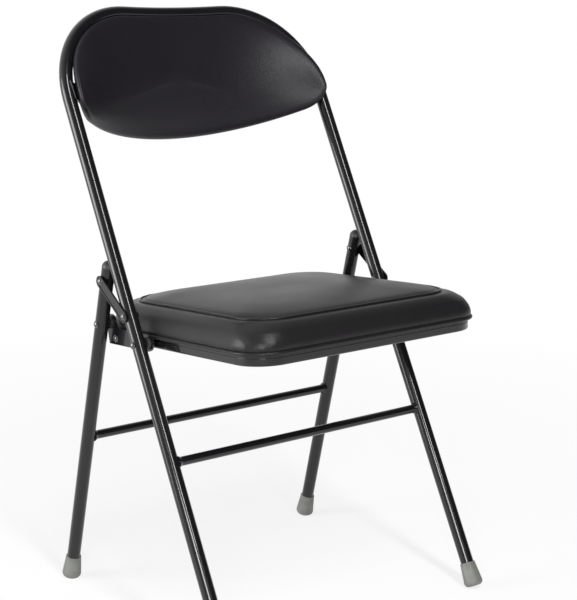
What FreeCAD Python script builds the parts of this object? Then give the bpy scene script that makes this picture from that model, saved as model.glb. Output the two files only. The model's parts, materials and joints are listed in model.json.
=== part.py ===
import FreeCAD, Part
import math
import os
import re

import Sketcher

# Folding chair: one bent tube makes the front legs and the back, two rear legs hang on the seat,
# and a strap on each side ties the top of a rear leg to the back tube.
# Frame: +Z up, the sitter faces -Y, +X is the sitter's left, the origin is on the floor.

Vector = FreeCAD.Vector
SIDES = (("left", 1), ("right", -1))

DIMENSIONS = {
    # tube frame
    "frame_half_width": 210, "tube_diameter": 18, "tube_wall": 1.2,
    "front_foot_y": -209.37, "front_lean": 28.006,
    "rear_foot_y": 164.62, "rear_lean": 13.59,
    "rail_reach": 882.4, "corner_radius": 130, "rail_sweep": 6,
    "bar_diameter": 12, "bar_wall": 1.2, "weld_leg": 2.4, "weld_length": 5, "weld_sink": 1,
    "front_bar_height": 230.2, "rear_bar_height": 216,
    # feet and plugs
    "foot_length": 33, "foot_top_diameter": 20.8, "foot_base_diameter": 26, "foot_sole": 7, "foot_round": 6,
    "foot_lip": 0.9, "foot_flat": 1,
    "leg_top_height": 456.1, "plug_stem": 14,
    # pivots, all given by their height above the floor
    "seat_pivot_height": 367.365, "leg_pivot_height": 378.526,
    "strap_leg_height": 438.019, "strap_frame_height": 401.171,
    "rivet_shank": 6, "rivet_head": 10, "rivet_dome": 2.6, "rivet_play": 0.05, "side_play": 0.3,
    # straps
    "strap_width": 15, "strap_thickness": 2.4, "strap_gap": 0.4, "strap_rim": 1.8, "strap_recess": 0.7,
    # seat
    "seat_tilt": 4.35, "pan_drop": 8.3, "pan_half_width": 185.5, "pan_front": 213.4, "pan_rear": 128,
    "pan_front_radius": 43, "pan_rear_radius": 58, "rim_height": 13.2, "pan_sheet": 1.2, "pan_roll": 2.5,
    "hem_height": 2.2, "hem_groove": 1.5, "groove_depth": 1.2,
    "board_gap": 4, "board_thickness": 9,
    "rim_gap": 0.2, "cushion_overhang": 3.4, "cushion_corner": 45, "corner_ease": 0.25, "seam_inset": 24,
    "seam_height": 38.7, "crown_height": 12.4, "crown_run": 96,
    # seat side brackets
    "bracket_plane": 193.5, "bracket_sheet": 2.5, "bracket_eye": 11, "bracket_tail": 14,
    "tail_radius": 16, "flange_reach": 34, "flange_start": 16, "flange_end": 92, "flange_taper": 8,
    "fixing_front": 30, "fixing_rear": 76.5, "fixing_rise": 5.4, "washer_diameter": 16,
    # back panel and pad, measured in the plane of the back tubes
    "pad_half_width": 204.5, "pad_top_radius": 124, "pad_top_centre": 750.4, "pad_foot_middle": 721.9,
    "pad_foot_corner": 723.9, "pad_foot_radius": 24,
    "panel_low": 688.4, "panel_high": 888.4, "panel_reach": 216, "panel_side_low": -34, "panel_side_high": -12,
    "panel_bow_low": 107, "panel_bow_high": 8, "panel_thickness": 4, "panel_inset": 4,
    "trim_margin": 20, "pad_edge": 6, "pad_crown": 10,
    # tabs that hold the panel to the uprights, and the screws of the back and the seat
    "tab_reach": 760.4, "tab_length": 26, "tab_inner": 174, "tab_round": 7, "tab_sheet": 3, "tab_screw_x": 185,
    "screw_shank": 4, "screw_head": 9, "screw_dome": 2.2, "screw_bite": 1.6,
    "seat_screw_x": 118, "seat_screw_front": 138, "seat_screw_rear": 62, "seat_screw_bite": 6,
}

doc = FreeCAD.newDocument("folding_chair")
sheet = doc.addObject("Spreadsheet::Sheet", "Dims")
for row, (alias, number) in enumerate(DIMENSIONS.items(), start=1):
    sheet.set(f"A{row}", alias)
    sheet.set(f"B{row}", str(number))
    sheet.setAlias(f"B{row}", alias)
doc.recompute()

nodes = []


def size(formula):
    """The number that a formula of driving dimensions gives, in millimetres or degrees."""
    return float(sheet.evalExpression(str(formula)))


def bind(item, prop, formula):
    """Ties a property to a formula of driving dimensions."""
    named = re.sub(r"[a-z][a-z_]*", lambda m: "Dims." + m[0] if m[0] in DIMENSIONS else m[0], str(formula))
    item.setExpression(prop, named)


# Lines of the tubes, and the pivots on them
SEAT_PIVOT = ("front_foot_y + seat_pivot_height * tan(front_lean)", "seat_pivot_height")
LEG_PIVOT = ("rear_foot_y - leg_pivot_height * tan(rear_lean)", "leg_pivot_height")
STRAP_LEG = ("rear_foot_y - strap_leg_height * tan(rear_lean)", "strap_leg_height")
STRAP_FRAME = ("front_foot_y + strap_frame_height * tan(front_lean)", "strap_frame_height")
FRONT_BAR = ("front_foot_y + front_bar_height * tan(front_lean)", "front_bar_height")
REAR_BAR = ("rear_foot_y - rear_bar_height * tan(rear_lean)", "rear_bar_height")

BACK_PLANE = FreeCAD.Placement(
    Vector(0, size("front_foot_y"), 0), FreeCAD.Rotation(Vector(-1, 0, 0), size("front_lean")))
LEG_PLANE = FreeCAD.Placement(
    Vector(0, size("rear_foot_y"), 0), FreeCAD.Rotation(Vector(1, 0, 0), size("rear_lean")))
ALONG_X = FreeCAD.Rotation(Vector(0, 1, 0), 90)
THROUGH = "4 * frame_half_width"  # long enough to pass through anything


def keep(item, name):
    """Names an item as one of the chair's pieces."""
    item.Label = name
    nodes.append(item)
    return item


def new_body(name, frame=None):
    body = doc.addObject("PartDesign::Body", name + "_body")
    if frame is not None:
        body.Placement = frame
    return keep(body, name)


def group(name, solids):
    """Puts like fasteners into one piece of separate solids."""
    for solid in solids:
        nodes.remove(solid)
    whole = doc.addObject("Part::Compound", name + "_group")
    whole.Links = solids
    return keep(whole, name)


def arc_through(start, end, radius, turn):
    """An arc of under half a circle from start to end; turn is 1 for counter-clockwise."""
    chord = end - start
    half = chord.Length / 2
    to_centre = Vector(-chord.y, chord.x, 0).normalize() * math.sqrt(max(radius ** 2 - half ** 2, 0)) * turn
    centre = (start + end) * 0.5 + to_centre
    angles = [math.atan2(p.y - centre.y, p.x - centre.x) for p in (start, end)]
    first, last = angles if turn > 0 else reversed(angles)
    if last < first:
        last += 2 * math.pi
    return Part.ArcOfCircle(Part.Circle(centre, Vector(0, 0, 1), radius), first, last)


def pin_point(sketch, edge, position, point):
    """Holds a point of a sketch at two formulas, measured from the sketch's origin."""
    for kind, formula in zip(("DistanceX", "DistanceY"), point):
        index = sketch.addConstraint(Sketcher.Constraint(kind, -1, 1, edge, position, size(formula)))
        bind(sketch, f"Constraints[{index}]", formula)


def outline(sketch, corners, arcs=None):
    """Draws a closed outline; arcs gives the radius and turn of the edge after a corner."""
    arcs = arcs or {}
    points = [Vector(size(x), size(y), 0) for x, y in corners]
    count = len(points)
    ends = []
    for i, start in enumerate(points):
        end = points[(i + 1) % count]
        if i in arcs:
            radius, turn = arcs[i]
            edge = sketch.addGeometry(arc_through(start, end, size(radius), turn), False)
            ends.append((edge, 1, 2) if turn > 0 else (edge, 2, 1))
        else:
            edge = sketch.addGeometry(Part.LineSegment(start, end), False)
            ends.append((edge, 1, 2))
    for i, (edge, head, tail) in enumerate(ends):
        follower, follower_head, _ = ends[(i + 1) % count]
        sketch.addConstraint(Sketcher.Constraint("Coincident", edge, tail, follower, follower_head))
        pin_point(sketch, edge, head, corners[i])
        if i in arcs:
            index = sketch.addConstraint(Sketcher.Constraint("Radius", edge, size(arcs[i][0])))
            bind(sketch, f"Constraints[{index}]", arcs[i][0])


def round_hole(sketch, x, y, radius):
    edge = sketch.addGeometry(
        Part.Circle(Vector(size(x), size(y), 0), Vector(0, 0, 1), size(radius)), False)
    pin_point(sketch, edge, 3, (x, y))
    index = sketch.addConstraint(Sketcher.Constraint("Radius", edge, size(radius)))
    bind(sketch, f"Constraints[{index}]", radius)


def new_sketch(body, role, offset="0"):
    """A sketch on one of a body's own planes, moved along the plane's normal."""
    sketch = body.newObject("Sketcher::SketchObject", "sketch")
    plane = [f for f in body.Origin.OriginFeatures if f.Role == role][0]
    sketch.AttachmentSupport = [(plane, "")]
    sketch.MapMode = "FlatFace"
    sketch.AttachmentOffset = FreeCAD.Placement(Vector(0, 0, size(offset)), FreeCAD.Rotation())
    bind(sketch, "AttachmentOffset.Base.z", offset)
    return sketch


def pad(body, sketch, length, flip=False):
    feature = body.newObject("PartDesign::Pad", "pad")
    feature.Profile = sketch
    feature.Length = size(length)
    bind(feature, "Length", length)
    feature.Reversed = flip
    sketch.Visibility = False
    return feature


def pocket(body, sketch, length, flip=False, both_ways=False):
    doc.recompute()
    before = body.Shape.Volume
    feature = body.newObject("PartDesign::Pocket", "pocket")
    feature.Profile = sketch
    feature.Length = size(length)
    bind(feature, "Length", length)
    feature.Reversed = flip
    feature.Midplane = both_ways
    doc.recompute()
    if not body.Shape.Volume < before - 1e-6:
        raise RuntimeError(f"a pocket of {body.Label} cuts nothing")
    return feature


def roll_edges(body, height, radius):
    """Rounds the edges of a body that lie flat at a height."""
    doc.recompute()
    level = size(height)
    flat = [f"Edge{i}" for i, edge in enumerate(body.Tip.Shape.Edges, start=1)
            if abs(edge.BoundBox.ZMin - level) < 1e-4 and abs(edge.BoundBox.ZMax - level) < 1e-4]
    before = body.Tip
    feature = body.newObject("PartDesign::Fillet", "roll")
    feature.Base = (before, flat)
    bind(feature, "Radius", radius)


def revolve_about_x(name, profile, arcs=None, y="0", z="0"):
    """A turned piece whose axis lies along X through a point of the YZ plane."""
    body = new_body(name)
    body.Placement.Base = Vector(0, size(y), size(z))
    bind(body, "Placement.Base.y", y)
    bind(body, "Placement.Base.z", z)
    sketch = new_sketch(body, "XY_Plane")
    outline(sketch, profile, arcs)
    feature = body.newObject("PartDesign::Revolution", "turning")
    feature.Profile = sketch
    feature.ReferenceAxis = (sketch, ["H_Axis"])
    feature.Angle = 360
    return body


def turn_upright(body, sketch):
    """Turns a half profile about its sketch's upright axis."""
    feature = body.newObject("PartDesign::Revolution", "turning")
    feature.Profile = sketch
    feature.ReferenceAxis = (sketch, ["V_Axis"])
    feature.Angle = 360


def cylinder(name, radius, height, frame):
    solid = doc.addObject("Part::Cylinder", name)
    bind(solid, "Radius", radius)
    bind(solid, "Height", height)
    solid.Placement = frame
    return solid


def across(name, radius, point, length=THROUGH):
    """A cylinder along X, centred on a point of the YZ plane."""
    start = Vector(-size(length) / 2, size(point[0]), size(point[1]))
    return cylinder(name, radius, length, FreeCAD.Placement(start, ALONG_X))


def cut(name, base, tools):
    if len(tools) == 1:
        tool = tools[0]
    else:
        tool = doc.addObject("Part::MultiFuse", name + "_tools")
        tool.Shapes = tools
    result = doc.addObject("Part::Cut", name)
    result.Base = base
    result.Tool = tool
    return result


def drill(piece, tools):
    """Cuts tools out of a piece, which keeps its name."""
    name = piece.Label
    piece.Label = name + "_blank"
    nodes.remove(piece)
    return keep(cut(name + "_drilled", piece, tools), name)


def screw(name, frame, reach):
    """A round-headed screw: its head stands on the frame's XY plane and its shank goes down from it."""
    body = new_body(name, frame)
    sketch = new_sketch(body, "XZ_Plane")
    dome = "((screw_head / 2) ^ 2 + screw_dome ^ 2) / (2 * screw_dome)"
    outline(sketch, [("0", f"-({reach})"), ("screw_shank / 2", f"-({reach})"), ("screw_shank / 2", "0"),
                     ("screw_head / 2", "0"), ("0", "screw_dome")], {3: (dome, 1)})
    turn_upright(body, sketch)
    hole = cylinder(name + "_hole", "screw_shank / 2 + rivet_play", f"{reach} + screw_dome", frame.multiply(
        FreeCAD.Placement(Vector(0, 0, -size(reach)), FreeCAD.Rotation())))
    return body, hole


def rounded_panel(front, rear, half_width, front_radius, rear_radius):
    """Corners and arcs of a seat-shaped outline, from its front edge round to the right."""
    corners = [
        (f"-({half_width}) + {front_radius}", f"-({front})"),
        (f"{half_width} - ({front_radius})", f"-({front})"),
        (half_width, f"-({front}) + {front_radius}"), (half_width, f"{rear} - ({rear_radius})"),
        (f"{half_width} - ({rear_radius})", rear), (f"-({half_width}) + {rear_radius}", rear),
        (f"-({half_width})", f"{rear} - ({rear_radius})"), (f"-({half_width})", f"-({front}) + {front_radius}")]
    arcs = {1: (front_radius, 1), 3: (rear_radius, 1), 5: (rear_radius, 1), 7: (front_radius, 1)}
    return corners, arcs


def seat_outline(body, height, inset):
    """The seat's outline at a height above the pivot, drawn in by an inset."""
    sketch = new_sketch(body, "XY_Plane", height)
    outline(sketch, *rounded_panel(
        f"(pan_front - ({inset}))", f"(pan_rear - ({inset}))", f"(pan_half_width - ({inset}))",
        f"(pan_front_radius - ({inset}))", f"(pan_rear_radius - ({inset}))"))
    return sketch


# Back frame: one tube from foot to foot

def rail_path(start):
    """The tube's centre line in the plane of the back: legs, two tilted bends and a bowed top rail."""
    width, reach, bend = size("frame_half_width"), size("rail_reach"), size("corner_radius")
    sweep = math.radians(size("rail_sweep"))
    aside = Vector(math.cos(sweep), math.sin(sweep), 0)
    knee = Vector(-width, 0, reach - bend)
    middle = knee + aside * bend * (1 - math.cos(math.pi / 4)) + Vector(0, 0, bend * math.sin(math.pi / 4))
    shoulder = knee + aside * bend + Vector(0, 0, bend)
    crest = Vector(0, shoulder.y - shoulder.x * math.tan(sweep / 2), reach)

    def mirror(p):
        return Vector(-p.x, p.y, p.z)

    foot = Vector(-width, 0, start)
    edges = [
        Part.LineSegment(foot, knee), Part.Arc(knee, middle, shoulder),
        Part.Arc(shoulder, crest, mirror(shoulder)), Part.Arc(mirror(shoulder), mirror(middle), mirror(knee)),
        Part.LineSegment(mirror(knee), mirror(foot))]
    return Part.Wire([edge.toShape() for edge in edges])


def swept_tube(name, radius, start):
    spine = doc.addObject("Part::Feature", name + "_path")
    spine.Shape = rail_path(start)
    spine.Placement = BACK_PLANE
    ring = doc.addObject("Part::Circle", name + "_ring")
    bind(ring, "Radius", radius)
    ring.Placement = BACK_PLANE.multiply(FreeCAD.Placement(
        Vector(-size("frame_half_width"), 0, start), FreeCAD.Rotation()))
    sweep = doc.addObject("Part::Sweep", name)
    sweep.Sections = [ring]
    sweep.Spine = (spine, [f"Edge{i + 1}" for i in range(len(spine.Shape.Edges))])
    sweep.Solid = True
    return sweep


def foot_end(lean):
    """Where a cap ends along its leg, so that its round edge would reach foot_flat below the floor."""
    return (f"(((foot_base_diameter / 2 - foot_round) * sin({lean}) + foot_round - foot_flat) / cos({lean})"
            " - foot_round)")


tube_start = size(f"{foot_end('front_lean')} + foot_sole")
frame_outer = swept_tube("frame_outer", "tube_diameter / 2", tube_start)
frame_bore = swept_tube("frame_bore", "tube_diameter / 2 - tube_wall", tube_start)
shank_bore = "rivet_shank / 2 + rivet_play"
seat_pivot_holes = across("seat_pivot_holes", shank_bore, SEAT_PIVOT)
strap_holes = across("strap_holes", shank_bore, STRAP_FRAME)
keep(cut("frame_tube", frame_outer, [frame_bore, seat_pivot_holes, strap_holes]), "back_frame_tube")


# Crossbars, coped to the tubes and flared where they are welded

def crossbar(name, point, frame):
    bar = across(name + "_bar", "bar_diameter / 2", point, "2 * frame_half_width")
    bore = across(name + "_bore", "bar_diameter / 2 - bar_wall", point)
    pieces = [bar]
    legs = []
    for side, sign in SIDES:
        weld = doc.addObject("Part::Cone", f"{name}_weld_{side}")
        bind(weld, "Radius1", "bar_diameter / 2")
        bind(weld, "Radius2", "bar_diameter / 2 + weld_leg")
        bind(weld, "Height", "weld_length")
        inner = sign * (size("frame_half_width - tube_diameter / 2 - weld_length + weld_sink"))
        weld.Placement = FreeCAD.Placement(
            Vector(inner, size(point[0]), size(point[1])), FreeCAD.Rotation(Vector(0, 1, 0), 90 * sign))
        pieces.append(weld)
        leg_frame = frame.multiply(FreeCAD.Placement(
            Vector(sign * size("frame_half_width"), 0, 0), FreeCAD.Rotation()))
        legs.append(cylinder(f"{name}_cope_{side}", "tube_diameter / 2", "rail_reach", leg_frame))
    whole = doc.addObject("Part::MultiFuse", name + "_whole")
    whole.Shapes = pieces
    keep(cut(name + "_cut", whole, [bore] + legs), name)


crossbar("front_crossbar", FRONT_BAR, BACK_PLANE)
crossbar("rear_crossbar", REAR_BAR, LEG_PLANE)


# Rear legs with their plugs

leg_length = "leg_top_height / cos(rear_lean)"
leg_start = f"({foot_end('rear_lean')} + foot_sole)"
leg_holes = [across("leg_pivot_holes", shank_bore, LEG_PIVOT), across("leg_strap_holes", shank_bore, STRAP_LEG)]
for side, sign in SIDES:
    base = Vector(sign * size("frame_half_width"), 0, size(leg_start))
    frame = LEG_PLANE.multiply(FreeCAD.Placement(base, FreeCAD.Rotation()))
    outer = cylinder(f"leg_outer_{side}", "tube_diameter / 2", f"{leg_length} - {leg_start}", frame)
    bore = cylinder(f"leg_bore_{side}", "tube_diameter / 2 - tube_wall", f"{leg_length} - {leg_start}", frame)
    keep(cut(f"leg_{side}", outer, [bore] + leg_holes), f"rear_leg_{side}")

    plug = new_body(f"leg_plug_{side}", LEG_PLANE.multiply(FreeCAD.Placement(
        Vector(sign * size("frame_half_width"), 0, size(leg_length)), FreeCAD.Rotation())))
    sketch = new_sketch(plug, "XZ_Plane")
    stem = "tube_diameter / 2 - tube_wall - rivet_play"
    outline(sketch, [("0", "-plug_stem"), (stem, "-plug_stem"), (stem, "0"), ("tube_diameter / 2", "0"),
                     ("0", "tube_diameter / 2")], {3: ("tube_diameter / 2", 1)})
    turn_upright(plug, sketch)


# Feet: rubber caps turned about the leg, worn flat where their round edge meets the floor

floor = doc.addObject("Part::Box", "below_floor")
bind(floor, "Length", THROUGH)
bind(floor, "Width", THROUGH)
bind(floor, "Height", "foot_length")
floor.Placement.Base = Vector(-size(THROUGH) / 2, -size(THROUGH) / 2, -size("foot_length"))
foot_radius = "foot_base_diameter / 2"
foot_mouth = "tube_diameter / 2 + rivet_play"
for end, plane, lean in (("front", BACK_PLANE, "front_lean"), ("rear", LEG_PLANE, "rear_lean")):
    for side, sign in SIDES:
        cap = new_body(f"{end}_foot_{side}", plane.multiply(FreeCAD.Placement(
            Vector(sign * size("frame_half_width"), 0, size(foot_end(lean))), FreeCAD.Rotation())))
        sketch = new_sketch(cap, "XZ_Plane")
        outline(sketch, [
            ("0", "0"), (f"{foot_radius} - foot_round", "0"), (foot_radius, "foot_round"),
            ("foot_top_diameter / 2", "foot_length - foot_lip"),
            ("foot_top_diameter / 2 - foot_lip", "foot_length"),
            (foot_mouth, "foot_length"), (foot_mouth, "foot_sole"), ("0", "foot_sole")],
            {1: ("foot_round", 1), 3: ("foot_lip", 1)})
        turn_upright(cap, sketch)
        drill(cap, [floor])


# Rivets, washers and straps of the folding gear

tube_out = "frame_half_width + tube_diameter / 2"
tube_in = "frame_half_width - tube_diameter / 2"
bracket_out = "bracket_plane + bracket_sheet"
strap_in = f"{tube_out} + strap_gap"
strap_out = f"{strap_in} + strap_thickness - strap_recess"
DOME_RADIUS = "((rivet_head / 2) ^ 2 + rivet_dome ^ 2) / (2 * rivet_dome)"


def rivet(name, inside, outside, sign, point, outer_head=True, inner_head=True):
    """A domed rivet from the inside face to the outside face of what it holds."""
    def along(formula):
        return f"{sign} * ({formula})"

    profile = [(along(inside), "0")]
    arcs = {}
    if inner_head:
        profile = [(along(f"{inside} - rivet_dome"), "0"), (along(inside), "rivet_head / 2")]
        arcs[0] = (DOME_RADIUS, -sign)
    profile += [(along(inside), "rivet_shank / 2"), (along(outside), "rivet_shank / 2")]
    if outer_head:
        arcs[len(profile)] = (DOME_RADIUS, -sign)
        profile += [(along(outside), "rivet_head / 2"), (along(f"{outside} + rivet_dome"), "0")]
    else:
        profile += [(along(outside), "0")]
    return revolve_about_x(name, profile, arcs, *point)


def washer(name, inside, outside, sign, point):
    near, far, rim = f"{sign} * ({inside})", f"{sign} * ({outside})", "washer_diameter / 2"
    return revolve_about_x(name, [(near, shank_bore), (far, shank_bore), (far, rim), (near, rim)], None, *point)


for side, sign in SIDES:
    bracket_inner = "bracket_plane - side_play"
    rivet(f"seat_pivot_rivet_{side}", bracket_inner, tube_out, sign, SEAT_PIVOT)
    rivet(f"leg_pivot_rivet_{side}", bracket_inner, tube_out, sign, LEG_PIVOT)
    rivet(f"strap_pivot_rivet_{side}", tube_in, f"{strap_out} + side_play", sign, STRAP_FRAME)
    rivet(f"leg_top_rivet_{side}", tube_in, tube_out, sign, STRAP_LEG, outer_head=False)
    rivet(f"strap_end_rivet_{side}", strap_in, strap_out, sign, STRAP_LEG, inner_head=False)
    washer(f"seat_pivot_washer_{side}", f"{bracket_out} + side_play", tube_in, sign, SEAT_PIVOT)
    washer(f"leg_pivot_washer_{side}", f"{bracket_out} + side_play", tube_in, sign, LEG_PIVOT)

STRAP_LENGTH = (f"sqrt(({STRAP_LEG[0]} - ({STRAP_FRAME[0]})) ^ 2"
                " + (strap_leg_height - strap_frame_height) ^ 2)")
strap_slope = math.degrees(math.atan2(size("strap_leg_height - strap_frame_height"),
                                      size(f"{STRAP_LEG[0]} - ({STRAP_FRAME[0]})")))


def slot(sketch, half_width):
    """A round-ended slot from the frame pivot to the leg pivot of a strap."""
    outline(sketch, [("0", f"-({half_width})"), (STRAP_LENGTH, f"-({half_width})"),
                     (f"{STRAP_LENGTH} + {half_width}", "0"), (STRAP_LENGTH, half_width),
                     ("0", half_width), (f"-({half_width})", "0")],
            {1: (half_width, 1), 2: (half_width, 1), 4: (half_width, 1), 5: (half_width, 1)})


for side, sign in SIDES:
    pivot = Vector(0, size(STRAP_FRAME[0]), size(STRAP_FRAME[1]))
    strap = new_body(f"hinge_strap_{side}", FreeCAD.Placement(
        pivot, FreeCAD.Rotation(Vector(1, 0, 0), strap_slope)))
    sketch = new_sketch(strap, "YZ_Plane", f"{sign} * ({strap_in})")
    slot(sketch, "strap_width / 2")
    round_hole(sketch, "0", "0", shank_bore)
    round_hole(sketch, STRAP_LENGTH, "0", shank_bore)
    pad(strap, sketch, "strap_thickness", flip=sign < 0)
    recess = new_sketch(strap, "YZ_Plane", f"{sign} * ({strap_out})")
    slot(recess, "strap_width / 2 - strap_rim")
    pocket(strap, recess, "strap_recess", flip=sign > 0)


# Seat: pressed pan, board, cushion and side brackets

SEAT_FRAME = FreeCAD.Placement(
    Vector(0, size(SEAT_PIVOT[0]), size(SEAT_PIVOT[1])), FreeCAD.Rotation(Vector(-1, 0, 0), size("seat_tilt")))

pan = new_body("seat_pan", SEAT_FRAME)
skirt_height = "(rim_height - hem_height - hem_groove)"
pad(pan, seat_outline(pan, "-pan_drop", "0"), skirt_height)
pad(pan, seat_outline(pan, f"-pan_drop + {skirt_height}", "groove_depth"), "hem_groove")
pad(pan, seat_outline(pan, f"-pan_drop + {skirt_height} + hem_groove", "0"), "hem_height")
pocket(pan, seat_outline(pan, "-pan_drop + rim_height", "pan_sheet + groove_depth"), "rim_height - pan_sheet")
roll_edges(pan, "-pan_drop", "pan_roll")

board = new_body("seat_board", SEAT_FRAME)
pad(board, seat_outline(board, "-pan_drop + pan_sheet", "board_gap"), "board_thickness")


def loft(body, sections, ruled=False):
    feature = body.newObject("PartDesign::AdditiveLoft", "loft")
    feature.Profile = sections[0]
    feature.Sections = sections[1:]
    feature.Ruled = ruled
    return feature


def cushion_section(height, inset):
    """The cushion's outline at a height above the pivot; its front corners keep their radius."""
    sketch = new_sketch(cushion, "XY_Plane", height)
    outline(sketch, *rounded_panel(
        f"(pan_front - ({inset}))", f"(pan_rear - ({inset}))", f"(pan_half_width - ({inset}))",
        "cushion_corner", f"(pan_rear_radius - corner_ease * ({inset}))"))
    return sketch


# The cushion sits in the pan, hangs over its rim, swells inward to the top seam and crowns from there.
# Each row is a share of the height and the inset of the outline there.
BAND = (("0", "-0.4 * cushion_overhang"), ("0.1", "-cushion_overhang"), ("0.41", "-0.75 * cushion_overhang"),
        ("0.7", "0.125 * seam_inset"), ("0.9", "0.54 * seam_inset"), ("1", "seam_inset"))
CROWN = (("0", "0"), ("0.38", "0.17"), ("0.7", "0.4"), ("0.9", "0.69"), ("1", "1"))
cushion = new_body("seat_cushion", SEAT_FRAME)
board_top = "-pan_drop + pan_sheet + board_thickness"
band_low = "-pan_drop + rim_height + rim_gap"
pad(cushion, seat_outline(cushion, board_top, "board_gap"), f"{band_low} - ({board_top})")
loft(cushion, [cushion_section(f"{band_low} + {share} * seam_height", inset) for share, inset in BAND])
loft(cushion, [cushion_section(f"{band_low} + seam_height + {share} * crown_height",
                               f"seam_inset + {run} * crown_run") for share, run in CROWN])

# the leg pivot in the seat's own plane
PIVOT_Y = f"(({LEG_PIVOT[0]} - ({SEAT_PIVOT[0]})) * cos(seat_tilt)" \
          " - (leg_pivot_height - seat_pivot_height) * sin(seat_tilt))"
PIVOT_Z = f"(({LEG_PIVOT[0]} - ({SEAT_PIVOT[0]})) * sin(seat_tilt)" \
          " + (leg_pivot_height - seat_pivot_height) * cos(seat_tilt))"
flange_low = "-(pan_drop + bracket_sheet)"

for side, sign in SIDES:
    bracket = new_body(f"seat_bracket_{side}", SEAT_FRAME)
    plate = new_sketch(bracket, "YZ_Plane", f"{sign} * bracket_plane")
    outline(plate, [
        ("0", "bracket_eye"), ("-bracket_eye", "0"), ("0", flange_low),
        ("flange_end", flange_low), (f"{PIVOT_Y} + bracket_eye", PIVOT_Z),
        (PIVOT_Y, f"{PIVOT_Z} + bracket_eye"), (f"{PIVOT_Y} - bracket_eye", PIVOT_Z),
        (f"{PIVOT_Y} - bracket_eye - bracket_tail", "bracket_eye")],
        {0: ("bracket_eye", 1), 1: ("bracket_eye", 1), 4: ("bracket_eye", 1), 5: ("bracket_eye", 1),
         6: ("tail_radius", -1)})
    round_hole(plate, "0", "0", shank_bore)
    round_hole(plate, PIVOT_Y, PIVOT_Z, shank_bore)
    for place_y in ("fixing_front", "fixing_rear"):
        round_hole(plate, place_y, "-pan_drop + fixing_rise", shank_bore)
    pad(bracket, plate, "bracket_sheet", flip=sign < 0)
    flange = new_sketch(bracket, "XY_Plane", flange_low)
    outline(flange, [
        (f"{sign} * bracket_plane", "flange_start"), (f"{sign} * bracket_plane", "flange_end"),
        (f"{sign} * (bracket_plane - flange_reach)", "flange_end - flange_taper"),
        (f"{sign} * (bracket_plane - flange_reach)", "flange_start + flange_taper")])
    pad(bracket, flange, "bracket_sheet")


# Rivets that hold the brackets off the pan's rim, each with a spacing collar

def seat_point(y, z):
    """Formulas for a point of the seat's own plane, in the chair's frame."""
    return (f"{SEAT_PIVOT[0]} + ({y}) * cos(seat_tilt) + ({z}) * sin(seat_tilt)",
            f"{SEAT_PIVOT[1]} - ({y}) * sin(seat_tilt) + ({z}) * cos(seat_tilt)")


fixings = []
rim_inner = "pan_half_width - pan_sheet - groove_depth"
for side, sign in SIDES:
    for end in ("front", "rear"):
        stations = [(rim_inner, "0"), (rim_inner, "rivet_shank / 2"), ("pan_half_width", "rivet_shank / 2"),
                    ("pan_half_width", "rivet_head / 2"), ("bracket_plane", "rivet_head / 2"),
                    ("bracket_plane", "rivet_shank / 2"), (bracket_out, "rivet_shank / 2"),
                    (bracket_out, "rivet_head / 2"), (f"{bracket_out} + rivet_dome", "0")]
        profile = [(f"{sign} * ({x})", radius) for x, radius in stations]
        point = seat_point(f"fixing_{end}", "-pan_drop + fixing_rise")
        dome = {7: (DOME_RADIUS, -sign)}
        fixings.append(revolve_about_x(f"bracket_rivet_{end}_{side}", profile, dome, *point))
group("bracket_rivets", fixings)

DOWNWARD = FreeCAD.Rotation(Vector(1, 0, 0), 180)
seat_screws, seat_holes = [], []
for side, sign in SIDES:
    for end, y in (("front", "-seat_screw_front"), ("rear", "seat_screw_rear")):
        place = Vector(sign * size("seat_screw_x"), size(y), -size("pan_drop"))
        piece, hole = screw(f"seat_screw_{end}_{side}", SEAT_FRAME.multiply(FreeCAD.Placement(place, DOWNWARD)),
                            "pan_sheet + seat_screw_bite")
        seat_screws.append(piece)
        seat_holes.append(hole)
group("seat_screws", seat_screws)
drill(board, seat_holes)
drill(pan, seat_holes + [across(f"fixing_holes_{end}", shank_bore, seat_point(
    f"fixing_{end}", "-pan_drop + fixing_rise")) for end in ("front", "rear")])


# Backrest: a bowed panel with a crowned pad, cut to the inside of the frame's bend

def bowed_section(body, reach, front_side, front_middle, back_side, back_middle):
    """A slice of the back across the tubes, between two arcs that bow backward."""
    sketch = new_sketch(body, "XY_Plane", reach)

    def bow_radius(side, middle):
        return f"(panel_reach ^ 2 + ({middle} - ({side})) ^ 2) / (2 * ({middle} - ({side})))"

    outline(sketch, [("-panel_reach", front_side), ("panel_reach", front_side),
                     ("panel_reach", back_side), ("-panel_reach", back_side)],
            {0: (bow_radius(front_side, front_middle), -1), 2: (bow_radius(back_side, back_middle), 1)})
    return sketch


def trim(body, corners, arcs):
    """Cuts away what lies outside an outline in the plane of the back."""
    sketch = new_sketch(body, "XZ_Plane")
    side, low, high = "(panel_reach + trim_margin)", "panel_low - trim_margin", "panel_high + trim_margin"
    outline(sketch, [(f"-{side}", low), (side, low), (side, high), (f"-{side}", high)])
    outline(sketch, corners, arcs)
    return pocket(body, sketch, THROUGH, both_ways=True)


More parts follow.
